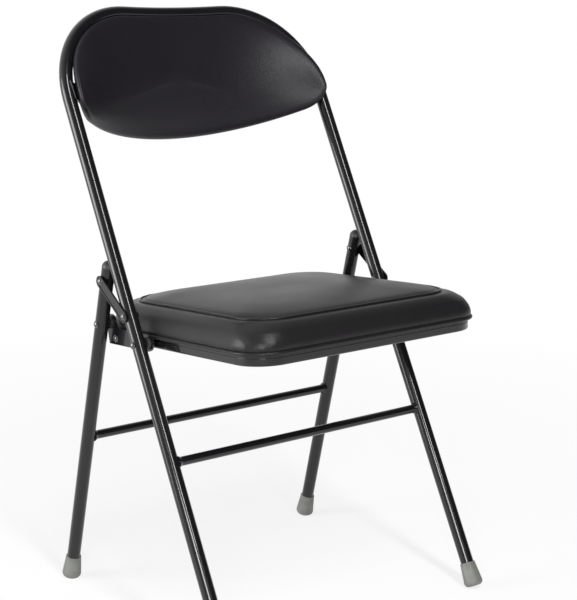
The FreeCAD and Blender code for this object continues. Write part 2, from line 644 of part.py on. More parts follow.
def trim_to_frame(body, inset):
    """Cuts a slab to the outline of the backrest, drawn in by an inset."""
    half = f"(pad_half_width - ({inset}))"
    foot = f"(pad_foot_corner + {inset})"
    middle = f"(pad_foot_middle + {inset})"
    top_bend = f"(pad_top_radius - ({inset}))"
    foot_bend = f"(pad_foot_radius - ({inset}))"
    turn_x = f"({half} - {foot_bend})"
    sag = f"({foot} - ({middle}))"
    trim(body, [
        (f"-{turn_x}", foot), (turn_x, foot), (half, f"{foot} + {foot_bend}"), (half, "pad_top_centre"),
        (f"{half} - {top_bend}", f"pad_top_centre + {top_bend}"),
        (f"-{half} + {top_bend}", f"pad_top_centre + {top_bend}"),
        (f"-{half}", "pad_top_centre"), (f"-{half}", f"{foot} + {foot_bend}")],
        {0: (f"({turn_x} ^ 2 + {sag} ^ 2) / (2 * {sag})", 1), 1: (foot_bend, 1), 3: (top_bend, 1),
         5: (top_bend, 1), 7: (foot_bend, 1)})


LEVELS = []
for share in (0, 0.5, 1):
    LEVELS.append({
        "reach": f"panel_low + {share} * (panel_high - panel_low)",
        "side": f"(panel_side_low + {share} * (panel_side_high - panel_side_low))",
        "bow": f"(panel_bow_low + {share} * (panel_bow_high - panel_bow_low))",
        "crown": f"(pad_crown * {1 - abs(2 * share - 1) ** 2})"})


def bowed_slab(body, front, back):
    """A slab between two offsets behind the panel's front face."""
    return loft(body, [bowed_section(
        body, at["reach"], f"{at['side']} + {front}", f"{at['bow']} + {front}",
        f"{at['side']} + {back}", f"{at['bow']} + {back}") for at in LEVELS])


def rear_face(body, x, reach):
    """How far behind the plane of the back the rear face of a slab lies."""
    depth = size(THROUGH)
    probe = Part.makeLine(Vector(x, -depth, reach), Vector(x, depth, reach))
    return body.Tip.Shape.common(probe).BoundBox.YMax


panel = new_body("backrest_panel", BACK_PLANE)
bowed_slab(panel, "0", "panel_thickness")
trim_to_frame(panel, "panel_inset")

back_pad = new_body("backrest_pad", BACK_PLANE)
loft(back_pad, [bowed_section(
    back_pad, at["reach"], f"{at['side']} - pad_edge", f"{at['bow']} - pad_edge - {at['crown']}",
    at["side"], at["bow"]) for at in LEVELS])
trim_to_frame(back_pad, "0")
frame_room = swept_tube("frame_room", "tube_diameter / 2 + side_play", tube_start)
drill(back_pad, [frame_room])

tab_front = "(panel_thickness + side_play)"
tab_low, tab_high = "(tab_reach - tab_length / 2)", "(tab_reach + tab_length / 2)"
back_screws, back_holes = [], []
for side, sign in SIDES:
    tab = new_body(f"backrest_tab_{side}", BACK_PLANE)
    bowed_slab(tab, tab_front, f"{tab_front} + tab_sheet")
    corners = [("frame_half_width", tab_low), ("frame_half_width", tab_high),
               ("tab_inner + tab_round", tab_high), ("tab_inner", f"{tab_high} - tab_round"),
               ("tab_inner", f"{tab_low} + tab_round"), ("tab_inner + tab_round", tab_low)]
    trim(tab, [(f"{sign} * ({x})", z) for x, z in corners], {2: ("tab_round", sign), 4: ("tab_round", sign)})

    doc.recompute()
    x, reach = sign * size("tab_screw_x"), size("tab_reach")
    slope_x = (rear_face(tab, x + 1, reach) - rear_face(tab, x - 1, reach)) / 2
    slope_z = (rear_face(tab, x, reach + 1) - rear_face(tab, x, reach - 1)) / 2
    seat_of_head = Vector(x, rear_face(tab, x, reach) + size("rivet_play"), reach)
    square = FreeCAD.Rotation(Vector(0, 0, 1), Vector(-slope_x, 1, -slope_z))
    piece, hole = screw(f"backrest_screw_{side}", BACK_PLANE.multiply(FreeCAD.Placement(seat_of_head, square)),
                        "tab_sheet + side_play + screw_bite")
    back_screws.append(piece)
    back_holes.append(hole)
    drill(tab, [frame_outer, hole])
group("backrest_screws", back_screws)
drill(panel, back_holes + [frame_room])

doc.recompute()


def check_and_export():
    for item in doc.Objects:
        if "Invalid" in item.State or "Error" in item.State:
            raise RuntimeError(f"{item.Name} ({item.Label}) failed: {item.State}")
    os.makedirs("parts", exist_ok=True)
    for item in nodes:
        shape = item.Shape
        if shape.isNull() or not shape.isValid():
            raise RuntimeError(f"{item.Label} has no valid shape")
        shape.exportStep(f"parts/{item.Label}.step")
        print(f"{item.Label:28s} {len(shape.Solids)} solid {shape.Volume / 1000:9.2f} cm3")


check_and_export()
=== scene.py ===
import json
import math

import bmesh
import bpy
from mathutils import Matrix, Vector
from mathutils.bvhtree import BVHTree


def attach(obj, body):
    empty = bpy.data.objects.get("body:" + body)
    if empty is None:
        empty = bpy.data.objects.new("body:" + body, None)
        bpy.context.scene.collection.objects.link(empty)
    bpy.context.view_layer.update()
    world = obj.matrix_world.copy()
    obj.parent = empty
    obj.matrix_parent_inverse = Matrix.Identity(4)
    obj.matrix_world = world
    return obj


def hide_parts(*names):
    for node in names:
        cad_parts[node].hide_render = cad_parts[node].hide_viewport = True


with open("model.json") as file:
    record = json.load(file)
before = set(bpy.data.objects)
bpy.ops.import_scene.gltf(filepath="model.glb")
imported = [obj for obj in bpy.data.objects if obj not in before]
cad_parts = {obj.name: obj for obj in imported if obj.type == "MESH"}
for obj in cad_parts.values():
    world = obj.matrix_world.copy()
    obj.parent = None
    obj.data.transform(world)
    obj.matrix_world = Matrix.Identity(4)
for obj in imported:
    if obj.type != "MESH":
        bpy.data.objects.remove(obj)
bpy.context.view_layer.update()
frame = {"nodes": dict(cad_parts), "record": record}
nodes = frame["nodes"]
scene = bpy.context.scene
print("frame loaded:", len(nodes), "nodes")

places = {
    "seatPivot": (0, -0.013989, 0.367365), "seatTilt": -4.35,
    "backFoot": (0, -0.20937, 0), "backLean": -28.006,
}


def tilted(origin, degrees):
    return Matrix.Translation(origin) @ Matrix.Rotation(math.radians(degrees), 4, "X")


# the seat is drawn about its pivot, and the back in the plane of the bent tube
seatPlace = tilted(places["seatPivot"], places["seatTilt"])
backPlace = tilted(places["backFoot"], places["backLean"])


def newPiece(name, mesh):
    piece = bpy.data.objects.new(name, mesh)
    scene.collection.objects.link(piece)
    return piece


def ringMesh(name, rings, place):
    # closed skin over rings of equal count, capped by a fan at both ends
    mesh = bpy.data.meshes.new(name)
    bm = bmesh.new()
    rows = [[bm.verts.new(place @ Vector(p)) for p in ring] for ring in rings]
    count = len(rows[0])
    for a, b in zip(rows, rows[1:]):
        for i in range(count):
            j = (i + 1) % count
            bm.faces.new((a[i], a[j], b[j], b[i]))
    for row in (rows[0], rows[-1]):
        middle = bm.verts.new(sum((v.co for v in row), Vector()) / count)
        for i in range(count):
            bm.faces.new((row[i], row[(i + 1) % count], middle))
    bmesh.ops.recalc_face_normals(bm, faces=bm.faces)
    bm.to_mesh(mesh)
    bm.free()
    return mesh


def smoothShade(mesh):
    mesh.shade_smooth()
    return mesh


def applyModifiers(piece):
    deps = bpy.context.evaluated_depsgraph_get()
    mesh = bpy.data.meshes.new_from_object(piece.evaluated_get(deps))
    piece.modifiers.clear()
    old, piece.data = piece.data, mesh
    mesh.name = piece.name
    bpy.data.meshes.remove(old)


def remesh(piece, voxel):
    step = piece.modifiers.new("voxels", "REMESH")
    step.mode = "VOXEL"
    step.voxel_size = voxel
    applyModifiers(piece)


def pinNear(piece, weightAt):
    pins = piece.vertex_groups.new(name="pins")
    for v in piece.data.vertices:
        weight = weightAt(v.co)
        if weight > 0:
            pins.add([v.index], weight, "REPLACE")
    return pins


cover = {
    "quality": 6, "mass": 0.3, "tension": 20, "compression": 20, "shear": 8, "bending": 1.5, "frames": 20,
}


def inflate(piece, pins, pressure, cap):
    # blows the cover up from inside, without gravity, and moves no point further than the cap
    start = [v.co.copy() for v in piece.data.vertices]
    cloth = piece.modifiers.new("filling", "CLOTH")
    cloth.settings.quality = cover["quality"]
    cloth.settings.mass = cover["mass"]
    cloth.settings.tension_stiffness = cover["tension"]
    cloth.settings.compression_stiffness = cover["compression"]
    cloth.settings.shear_stiffness = cover["shear"]
    cloth.settings.bending_stiffness = cover["bending"]
    cloth.settings.use_pressure = True
    cloth.settings.uniform_pressure_force = pressure
    cloth.settings.effector_weights.gravity = 0
    cloth.settings.vertex_group_mass = pins.name
    cloth.collision_settings.use_collision = False
    for number in range(1, cover["frames"] + 1):
        scene.frame_set(number)
    deps = bpy.context.evaluated_depsgraph_get()
    moved = [v.co.copy() for v in piece.evaluated_get(deps).data.vertices]
    piece.modifiers.clear()
    most = 0
    for v, a, b in zip(piece.data.vertices, start, moved):
        step = b - a
        if step.length > cap:
            step *= cap / step.length
        most = max(most, step.length)
        v.co = a + step
    scene.frame_set(1)
    print(f"{piece.name} filled, moved up to {most * 1000:.1f} mm")


def subdivide(piece, levels=1):
    step = piece.modifiers.new("smooth", "SUBSURF")
    step.levels = step.render_levels = levels
    applyModifiers(piece)


def cornered(halfWidth, front, rear, frontRadius, rearRadius, count=48):
    # the outline of a panel with rounded corners, its points at even distances
    points = []
    corners = [(halfWidth - rearRadius, rear - rearRadius, rearRadius, 0),
               (-halfWidth + rearRadius, rear - rearRadius, rearRadius, 90),
               (-halfWidth + frontRadius, -front + frontRadius, frontRadius, 180),
               (halfWidth - frontRadius, -front + frontRadius, frontRadius, 270)]
    for x, y, radius, start in corners:
        for i in range(count + 1):
            angle = math.radians(start + 90 * i / count)
            points.append(Vector((x + radius * math.cos(angle), y + radius * math.sin(angle))))
    return spread(points, 8 * count)


def spread(points, count):
    # the same closed line with its points at even distances
    lengths = [0]
    for a, b in zip(points, points[1:] + points[:1]):
        lengths.append(lengths[-1] + (b - a).length)
    even, k = [], 0
    for i in range(count):
        want = lengths[-1] * i / count
        while lengths[k + 1] < want:
            k += 1
        a, b = points[k], points[(k + 1) % len(points)]
        gap = lengths[k + 1] - lengths[k]
        even.append(a.lerp(b, (want - lengths[k]) / gap if gap else 0))
    return even


def closedCurve(name, points):
    curve = bpy.data.curves.new(name, "CURVE")
    curve.dimensions = "3D"
    line = curve.splines.new("POLY")
    line.points.add(len(points) - 1)
    for p, co in zip(line.points, points):
        p.co = (*co, 1)
    line.use_cyclic_u = True
    return newPiece(name, curve)


def geometryTree(name, inputs):
    # an empty geometry tree with named inputs for its sizes
    tree = bpy.data.node_groups.new(name, "GeometryNodeTree")
    tree.interface.new_socket("Geometry", in_out="INPUT", socket_type="NodeSocketGeometry")
    for label, kind, value in inputs:
        socket = tree.interface.new_socket(label, in_out="INPUT", socket_type=kind)
        if value is not None:
            socket.default_value = value
    tree.interface.new_socket("Geometry", in_out="OUTPUT", socket_type="NodeSocketGeometry")
    start = tree.nodes.new("NodeGroupInput")
    end = tree.nodes.new("NodeGroupOutput")
    return tree, start, end


def finishTree(tree, start, end, geometry):
    # every tree closes with real geometry and its material
    real = tree.nodes.new("GeometryNodeRealizeInstances")
    paint = tree.nodes.new("GeometryNodeSetMaterial")
    tree.links.new(geometry, real.inputs[0])
    tree.links.new(real.outputs[0], paint.inputs["Geometry"])
    tree.links.new(start.outputs["Material"], paint.inputs["Material"])
    tree.links.new(paint.outputs[0], end.inputs[0])
    return tree


def growTree(piece, tree, values):
    # runs a tree on a curve and leaves a plain mesh in its place
    step = piece.modifiers.new(tree.name, "NODES")
    step.node_group = tree
    for item in tree.interface.items_tree:
        if item.in_out == "INPUT" and item.name in values:
            step[item.identifier] = values[item.name]
    deps = bpy.context.evaluated_depsgraph_get()
    mesh = bpy.data.meshes.new_from_object(piece.evaluated_get(deps))
    grown = newPiece(piece.name, smoothShade(mesh))
    old = piece.data
    name = piece.name
    bpy.data.objects.remove(piece)
    bpy.data.curves.remove(old)
    grown.name = mesh.name = name
    return grown


def weltTree():
    tree, start, end = geometryTree("welt", [
        ("Radius", "NodeSocketFloat", 0.002), ("Sides", "NodeSocketInt", 12),
        ("Material", "NodeSocketMaterial", None)])
    profile = tree.nodes.new("GeometryNodeCurvePrimitiveCircle")
    tube = tree.nodes.new("GeometryNodeCurveToMesh")
    tree.links.new(start.outputs["Sides"], profile.inputs["Resolution"])
    tree.links.new(start.outputs["Radius"], profile.inputs["Radius"])
    tree.links.new(start.outputs["Geometry"], tube.inputs["Curve"])
    tree.links.new(profile.outputs["Curve"], tube.inputs["Profile Curve"])
    return finishTree(tree, start, end, tube.outputs["Mesh"])


def stitchTree():
    # threads along a line, each a unit ball drawn out to its length and thickness
    tree, start, end = geometryTree("stitch run", [
        ("Pitch", "NodeSocketFloat", 0.0045), ("Length", "NodeSocketFloat", 0.0032),
        ("Thickness", "NodeSocketFloat", 0.0007), ("Material", "NodeSocketMaterial", None)])
    even = tree.nodes.new("GeometryNodeResampleCurve")
    even.mode = "LENGTH"
    thread = tree.nodes.new("GeometryNodeMeshUVSphere")
    thread.inputs["Segments"].default_value = 6
    thread.inputs["Rings"].default_value = 5
    thread.inputs["Radius"].default_value = 0.5
    tangent = tree.nodes.new("GeometryNodeInputTangent")
    aim = tree.nodes.new("FunctionNodeAlignRotationToVector")
    aim.axis = "Z"
    sizes = tree.nodes.new("ShaderNodeCombineXYZ")
    place = tree.nodes.new("GeometryNodeInstanceOnPoints")
    tree.links.new(start.outputs["Geometry"], even.inputs["Curve"])
    tree.links.new(start.outputs["Pitch"], even.inputs["Length"])
    tree.links.new(even.outputs["Curve"], place.inputs["Points"])
    tree.links.new(thread.outputs["Mesh"], place.inputs["Instance"])
    tree.links.new(tangent.outputs["Tangent"], aim.inputs["Vector"])
    tree.links.new(aim.outputs["Rotation"], place.inputs["Rotation"])
    tree.links.new(start.outputs["Thickness"], sizes.inputs["X"])
    tree.links.new(start.outputs["Thickness"], sizes.inputs["Y"])
    tree.links.new(start.outputs["Length"], sizes.inputs["Z"])
    tree.links.new(sizes.outputs["Vector"], place.inputs["Scale"])
    return finishTree(tree, start, end, place.outputs["Instances"])


def shaderGroup(name, inputs, outputs):
    group = bpy.data.node_groups.new(name, "ShaderNodeTree")
    for label, value in inputs:
        socket = group.interface.new_socket(label, in_out="INPUT", socket_type="NodeSocketFloat")
        socket.default_value = value
    for label in outputs:
        group.interface.new_socket(label, in_out="OUTPUT", socket_type="NodeSocketFloat")
    return group, group.nodes.new("NodeGroupInput"), group.nodes.new("NodeGroupOutput")


def feed(tree, value, socket):
    # an output is linked to the socket, a number is written into it
    if hasattr(value, "links"):
        tree.links.new(value, socket)
    else:
        socket.default_value = value


def mathNode(tree, kind, a, b):
    node = tree.nodes.new("ShaderNodeMath")
    node.operation = kind
    feed(tree, a, node.inputs[0])
    feed(tree, b, node.inputs[1])
    return node.outputs[0]


def noiseNode(tree, where, scale, detail):
    node = tree.nodes.new("ShaderNodeTexNoise")
    node.inputs["Detail"].default_value = detail
    feed(tree, scale, node.inputs["Scale"])
    tree.links.new(where, node.inputs["Vector"])
    return node


def remap(tree, value, low, high, to=(0, 1)):
    node = tree.nodes.new("ShaderNodeMapRange")
    node.inputs["From Min"].default_value = low
    node.inputs["From Max"].default_value = high
    node.inputs["To Min"].default_value = to[0]
    node.inputs["To Max"].default_value = to[1]
    tree.links.new(value, node.inputs["Value"])
    return node.outputs["Result"]


# the crease width is how far the painted crease shade reaches from each cell's edge
grain = {
    "warpScale": 130, "warpDetail": 2, "warp": 0.0016, "dome": 0.32, "creaseShade": 0.09, "fineScale": 2600,
    "fineDetail": 1, "fineShare": 0.25, "slowScale": 9, "slowDetail": 3,
}


def hideGrain():
    # pebbled vinyl: rounded cells with fine creases between them, a mask for painted shade along those
    # creases, and slow tone changes
    group, start, end = shaderGroup("hide grain", [("Cells", 700)], ["Height", "Crease Shade", "Tone"])
    where = group.nodes.new("ShaderNodeTexCoord").outputs["Object"]
    warp = noiseNode(group, where, grain["warpScale"], grain["warpDetail"])
    bent = group.nodes.new("ShaderNodeVectorMath")
    bent.operation = "MULTIPLY_ADD"
    bent.inputs[1].default_value = [grain["warp"]] * 3
    group.links.new(warp.outputs["Color"], bent.inputs[0])
    group.links.new(where, bent.inputs[2])
    cells = group.nodes.new("ShaderNodeTexVoronoi")
    cells.feature = "DISTANCE_TO_EDGE"
    group.links.new(bent.outputs[0], cells.inputs["Vector"])
    group.links.new(start.outputs["Cells"], cells.inputs["Scale"])
    dome = remap(group, cells.outputs["Distance"], 0, grain["dome"])
    fine = noiseNode(group, where, grain["fineScale"], grain["fineDetail"])
    pits = mathNode(group, "MULTIPLY", fine.outputs["Fac"], grain["fineShare"])
    slow = noiseNode(group, where, grain["slowScale"], grain["slowDetail"])
    # painted shade mask: 1 along the cells' edges, where the creases get darkened
    creaseShade = remap(group, cells.outputs["Distance"], 0, grain["creaseShade"], (1, 0))
    group.links.new(mathNode(group, "ADD", dome, pits), end.inputs["Height"])
    group.links.new(creaseShade, end.inputs["Crease Shade"])
    group.links.new(slow.outputs["Fac"], end.inputs["Tone"])
    return group


rub = {
    "stretch": (1, 1, 0.22), "turn": (0.35, 0.2, 0.6), "scratchDetail": 6, "scratchRoughness": 0.7,
    "scuff": (0.64, 0.74), "smearDetail": 4, "smear": (0.3, 0.75), "speckScale": 950, "speckDetail": 2,
    "speck": (0.3, 0.7),
}


def rubMarks():
    # scuffs and dust: short scratches, a cloud of smears and fine specks
    group, start, end = shaderGroup(
        "rub marks", [("Scratches", 60), ("Smears", 14)], ["Scuff", "Smear", "Speck"])
    where = group.nodes.new("ShaderNodeTexCoord").outputs["Object"]
    stretch = group.nodes.new("ShaderNodeMapping")
    stretch.inputs["Scale"].default_value = rub["stretch"]
    stretch.inputs["Rotation"].default_value = rub["turn"]
    group.links.new(where, stretch.inputs["Vector"])
    scratch = noiseNode(group, stretch.outputs[0], start.outputs["Scratches"], rub["scratchDetail"])
    scratch.inputs["Roughness"].default_value = rub["scratchRoughness"]
    smear = noiseNode(group, where, start.outputs["Smears"], rub["smearDetail"])
    speck = noiseNode(group, where, rub["speckScale"], rub["speckDetail"])
    group.links.new(remap(group, scratch.outputs["Fac"], *rub["scuff"]), end.inputs["Scuff"])
    group.links.new(remap(group, smear.outputs["Fac"], *rub["smear"]), end.inputs["Smear"])
    group.links.new(speck.outputs["Fac"], end.inputs["Speck"])
    return group


def newMaterial(name):
    material = bpy.data.materials.new(name)
    material.use_nodes = True
    return material, material.node_tree, material.node_tree.nodes["Principled BSDF"]


def placeGroup(tree, group, **values):
    node = tree.nodes.new("ShaderNodeGroup")
    node.node_tree = group
    for label, value in values.items():
        node.inputs[label].default_value = value
    return node


def twoTone(tree, shader, mask, first, second):
    mix = tree.nodes.new("ShaderNodeMix")
    mix.data_type = "RGBA"
    mix.inputs["A"].default_value = (*first, 1)
    mix.inputs["B"].default_value = (*second, 1)
    tree.links.new(mask, mix.inputs["Factor"])
    tree.links.new(mix.outputs["Result"], shader.inputs["Base Color"])
    return mix


def bump(tree, shader, height, strength, distance):
    node = tree.nodes.new("ShaderNodeBump")
    node.inputs["Strength"].default_value = strength
    node.inputs["Distance"].default_value = distance
    tree.links.new(height, node.inputs["Height"])
    tree.links.new(node.outputs["Normal"], shader.inputs["Normal"])


grainGroup = hideGrain()
rubGroup = rubMarks()
bumpDepth = {"peel": 0.0004, "hide": 0.0006, "spark": 0.0005, "wood": 0.0008}


def enamel(name, look):
    # stoved black enamel with a faint orange peel
    material, tree, shader = newMaterial(name)
    marks = placeGroup(tree, rubGroup, Scratches=look["scratches"], Smears=look["smears"])
    twoTone(tree, shader, marks.outputs["Scuff"], look["black"], look["worn"])
    rough = remap(tree, marks.outputs["Smear"], 0, 1, look["roughness"])
    tree.links.new(rough, shader.inputs["Roughness"])
    shader.inputs["IOR"].default_value = look["ior"]
    shader.inputs["Coat Weight"].default_value = look["coat"]
    shader.inputs["Coat Roughness"].default_value = look["coatRoughness"]
    bump(tree, shader, marks.outputs["Speck"], look["peel"], bumpDepth["peel"])
    return material


def vinyl(name, look):
    # soft black vinyl with an embossed hide grain, its creases darkened with painted shade
    material, tree, shader = newMaterial(name)
    hide = placeGroup(tree, grainGroup, Cells=look["cells"])
    marks = placeGroup(tree, rubGroup, Smears=look["smears"])
    tone = twoTone(tree, shader, hide.outputs["Tone"], look["dark"], look["light"])
    # painted shade: the grain's creases are mixed towards a darker colour
    creaseShadeMix = tree.nodes.new("ShaderNodeMix")
    creaseShadeMix.data_type = "RGBA"
    creaseShadeMix.inputs["B"].default_value = (*look["creaseShade"], 1)
    share = mathNode(tree, "MULTIPLY", hide.outputs["Crease Shade"], look["creaseShadeShare"])
    tree.links.new(share, creaseShadeMix.inputs["Factor"])
    tree.links.new(tone.outputs["Result"], creaseShadeMix.inputs["A"])
    tree.links.new(creaseShadeMix.outputs["Result"], shader.inputs["Base Color"])
    rough = remap(tree, marks.outputs["Smear"], 0, 1, look["roughness"])
    tree.links.new(rough, shader.inputs["Roughness"])
    shader.inputs["Specular IOR Level"].default_value = look["gloss"]
    shader.inputs["Sheen Weight"].default_value = look["sheen"]
    shader.inputs["Sheen Roughness"].default_value = look["sheenRoughness"]
    bump(tree, shader, hide.outputs["Height"], look["grain"], bumpDepth["hide"])
    return material


def moulded(name, look):
    # moulded rubber or plastic with a fine spark texture and a little dirt
    material, tree, shader = newMaterial(name)
    marks = placeGroup(tree, rubGroup, Smears=look["smears"])
    twoTone(tree, shader, marks.outputs["Smear"], look["clean"], look["dirty"])
    rough = remap(tree, marks.outputs["Speck"], *rub["speck"], look["roughness"])
    tree.links.new(rough, shader.inputs["Roughness"])
    bump(tree, shader, marks.outputs["Speck"], look["texture"], bumpDepth["spark"])
    return material


def plywood(name, look):
    # a board whose grain is drawn out along one side
    material, tree, shader = newMaterial(name)
    where = tree.nodes.new("ShaderNodeTexCoord")
    turn = tree.nodes.new("ShaderNodeMapping")
    turn.inputs["Scale"].default_value = look["stretch"]
    tree.links.new(where.outputs["Object"], turn.inputs["Vector"])
    rings = noiseNode(tree, turn.outputs[0], look["grain"], look["detail"]).outputs["Fac"]
    twoTone(tree, shader, remap(tree, rings, *look["tones"]), look["light"], look["dark"])
    rough = remap(tree, rings, *look["wear"], look["roughness"])
    tree.links.new(rough, shader.inputs["Roughness"])
    bump(tree, shader, rings, look["relief"], bumpDepth["wood"])
    return material


finishes = {
    "tubeEnamel": enamel("tubeEnamel", {
        "black": (0.005, 0.005, 0.006), "worn": (0.010, 0.010, 0.011), "roughness": (0.24, 0.32), "ior": 1.3,
        "coat": 0.6, "coatRoughness": 0.06, "peel": 0.002, "scratches": 60, "smears": 14}),
    "rivetMetal": enamel("rivetMetal", {
        "black": (0.016, 0.016, 0.018), "worn": (0.09, 0.09, 0.095), "roughness": (0.14, 0.3), "ior": 1.8,
        "coat": 0.5, "coatRoughness": 0.08, "peel": 0.05, "scratches": 300, "smears": 60}),
    # each vinyl's crease colour is painted shade that darkens the grain's creases
    "seatVinyl": vinyl("seatVinyl", {
        "dark": (0.009, 0.008, 0.009), "light": (0.014, 0.013, 0.014), "creaseShade": (0.003, 0.003, 0.003),
        "roughness": (0.33, 0.42), "gloss": 0.25, "sheen": 0.01, "sheenRoughness": 0.5,
        "grain": 0.1, "cells": 620, "creaseShadeShare": 0.6, "smears": 11}),
    "backVinyl": vinyl("backVinyl", {
        "dark": (0.008, 0.007, 0.010), "light": (0.013, 0.011, 0.015), "creaseShade": (0.003, 0.003, 0.004),
        "roughness": (0.33, 0.4), "gloss": 0.25, "sheen": 0.01, "sheenRoughness": 0.5,
        "grain": 0.12, "cells": 520, "creaseShadeShare": 0.6, "smears": 11}),
    "footRubber": moulded("footRubber", {
        "clean": (0.175, 0.18, 0.167), "dirty": (0.115, 0.117, 0.105), "roughness": (0.45, 0.6),
        "texture": 0.12, "smears": 70}),
    "washerNylon": moulded("washerNylon", {
        "clean": (0.02, 0.02, 0.02), "dirty": (0.035, 0.034, 0.032), "roughness": (0.4, 0.55),
        "texture": 0.1, "smears": 90}),
    "thread": moulded("thread", {
        "clean": (0.012, 0.012, 0.013), "dirty": (0.02, 0.02, 0.021), "roughness": (0.55, 0.7),
        "texture": 0.1, "smears": 90}),
    "seatPly": plywood("seatPly", {
        "light": (0.46, 0.31, 0.17), "dark": (0.3, 0.18, 0.09), "roughness": (0.5, 0.65), "grain": 45,
        "detail": 6, "stretch": (1, 0.12, 6), "tones": (0.35, 0.65), "wear": (0.3, 0.7), "relief": 0.2}),
}
bySlot = {
    "black_coat": "tubeEnamel", "dark_rivets": "rivetMetal", "vinyl": "seatVinyl", "back_cover": "backVinyl",
    "foot_caps": "footRubber", "nylon": "washerNylon", "plug_plastic": "washerNylon", "plywood": "seatPly",
}
for part in frame["record"]["subparts"]:
    mesh = nodes[part["node"]].data
    mesh.materials.clear()
    mesh.materials.append(finishes[bySlot[part["material_slot"]]])
print("finishes on", len(nodes), "nodes")


seat = {
    "halfWidth": 0.1855, "front": 0.2134, "rear": 0.128,
    "corner": 0.045, "rearRadius": 0.058, "rearShare": 0.25,
    "profile": [(0.0045, 0.0021), (0.0045, 0.0052), (-0.0012, 0.0054), (-0.0034, 0.009), (-0.0038, 0.014),
                (-0.0026, 0.021), (0.003, 0.032), (0.013, 0.040), (0.024, 0.0438), (0.040, 0.0485),
                (0.062, 0.0525), (0.090, 0.055), (0.120, 0.0562)],
    "seam": (0.024, 0.0438), "seamRibbon": 0.0001, "middle": (0.8, 0.55, 0.3, 0.1), "voxel": 0.0045,
    "pressure": 3.0, "cap": 0.007, "pinHeight": 0.0105, "pinGap": 0.004, "pinShare": 0.6, "pinFade": 0.012,
    "drawIn": 0.0022, "drawReach": 0.012, "clear": 0.09,
    "weltRadius": 0.0017, "weltSides": 12, "weltLift": 0.0006,
    "baseWelt": (-0.0032, 0.0074), "baseWeltRadius": 0.0022, "baseWeltSides": 14,
    "stitchInset": 0.0055, "stitchLift": 0.0001, "stitchPitch": 0.0046, "stitchLength": 0.0034,
    "stitchThickness": 0.0007,
}


def seatRing(inset, height):
    # the outline drawn in by an inset; the front corners keep their radius, the rear ones lose a share
    flat = cornered(seat["halfWidth"] - inset, seat["front"] - inset, seat["rear"] - inset,
                    seat["corner"], seat["rearRadius"] - seat["rearShare"] * inset)
    return [(p.x, p.y, height) for p in flat]


def buildSeat():
    rings = [seatRing(inset, height) for inset, height in seat["profile"]]
    top = rings[-1]
    centre = sum((Vector(p) for p in top), Vector()) / len(top)
    rings += [[centre + (Vector(p) - centre) * share for p in top] for share in seat["middle"]]
    cushion = newPiece("seatCushion", ringMesh("seatCushion", rings, seatPlace))
    remesh(cushion, seat["voxel"])
    toSeat = seatPlace.inverted()
    seamLine = [Vector(p) for p in seatRing(*seat["seam"])]
    count = len(seamLine)
    raised = [p + Vector((0, 0, seat["seamRibbon"])) for p in seamLine]
    ribbon = [(i, (i + 1) % count, count + i) for i in range(count)]
    seamTree = BVHTree.FromPolygons([*seamLine, *raised], ribbon)

    def held(co):
        # the cover is fixed to the pan and at the seam, and loosens away from the seam
        spot = toSeat @ co
        if spot.z < seat["pinHeight"]:
            return 1
        gap = seamTree.find_nearest(spot)[3]
        return 1 if gap < seat["pinGap"] else max(0, seat["pinShare"] - gap / seat["pinFade"])

    inflate(cushion, pinNear(cushion, held), seat["pressure"], seat["cap"])
    cushion.vertex_groups.clear()
    pull = seatPlace.to_3x3() @ Vector((0, 0, -seat["drawIn"]))
    for v in cushion.data.vertices:  # the seam draws the cover in
        gap = seamTree.find_nearest(toSeat @ v.co)[3]
        if gap < seat["drawReach"]:
            v.co += pull * (1 - gap / seat["drawReach"]) ** 2
    subdivide(cushion)
    smoothShade(cushion.data)
    cushion.data.materials.clear()
    cushion.data.materials.append(finishes["seatVinyl"])
    return cushion


def buildSeatTrim(cushion):
    welt, stitch = weltTree(), stitchTree()
    seamInset = seat["seam"][0]
    surface = BVHTree.FromObject(cushion, bpy.context.evaluated_depsgraph_get())
    up = seatPlace.to_3x3() @ Vector((0, 0, 1))

    def onTop(inset, lift):
        # a ring dropped from above onto the cover
        line = []
        for p in seatRing(inset, seat["clear"]):
            hit = surface.ray_cast(seatPlace @ Vector(p), -up)[0]
            line.append(hit + up * lift)
        return line

    seam = growTree(closedCurve("seatTopWelt", onTop(seamInset, seat["weltLift"])), welt, {
        "Radius": seat["weltRadius"], "Sides": seat["weltSides"], "Material": finishes["seatVinyl"]})
    baseLine = [seatPlace @ Vector(p) for p in seatRing(*seat["baseWelt"])]
    base = growTree(closedCurve("seatBaseWelt", baseLine), welt, {
        "Radius": seat["baseWeltRadius"], "Sides": seat["baseWeltSides"], "Material": finishes["seatVinyl"]})
    stitchLine = onTop(seamInset + seat["stitchInset"], seat["stitchLift"])
    stitches = growTree(closedCurve("seatStitches", stitchLine), stitch, {
        "Pitch": seat["stitchPitch"], "Length": seat["stitchLength"], "Thickness": seat["stitchThickness"],
        "Material": finishes["thread"]})
    return seam, base, stitches


cushion = buildSeat()
trim = buildSeatTrim(cushion)
for piece in (cushion, *trim):
    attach(piece, "seat")
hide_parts("seat_cushion")
print("seat cushion and trim built")


back = {
    "halfWidth": 0.206, "topRadius": 0.124, "topCentre": 0.7504, "footMiddle": 0.7219, "footCorner": 0.7239,
    "footRadius": 0.024, "leastRadius": 0.006, "low": 0.6884, "high": 0.8884, "reach": 0.216,
    "side": (-0.034, -0.012), "bow": (0.107, 0.008), "edge": 0.006, "crown": 0.010,
    "centreHeight": 0.7934, "rearShares": (0.15, 0.5, 0.85),
    "frontShares": (0.9, 0.75, 0.55, 0.35, 0.15), "frontRise": (1.2, 1),
    "roll": [(0.0014, 0, 0), (0, 0.2, 0.05), (-0.0004, 0.55, 0.25), (0.0004, 0.85, 0.5), (0.003, 1.0, 0.72),
             (0.008, 1.1, 0.88), (0.016, 1.18, 0.97)],
}


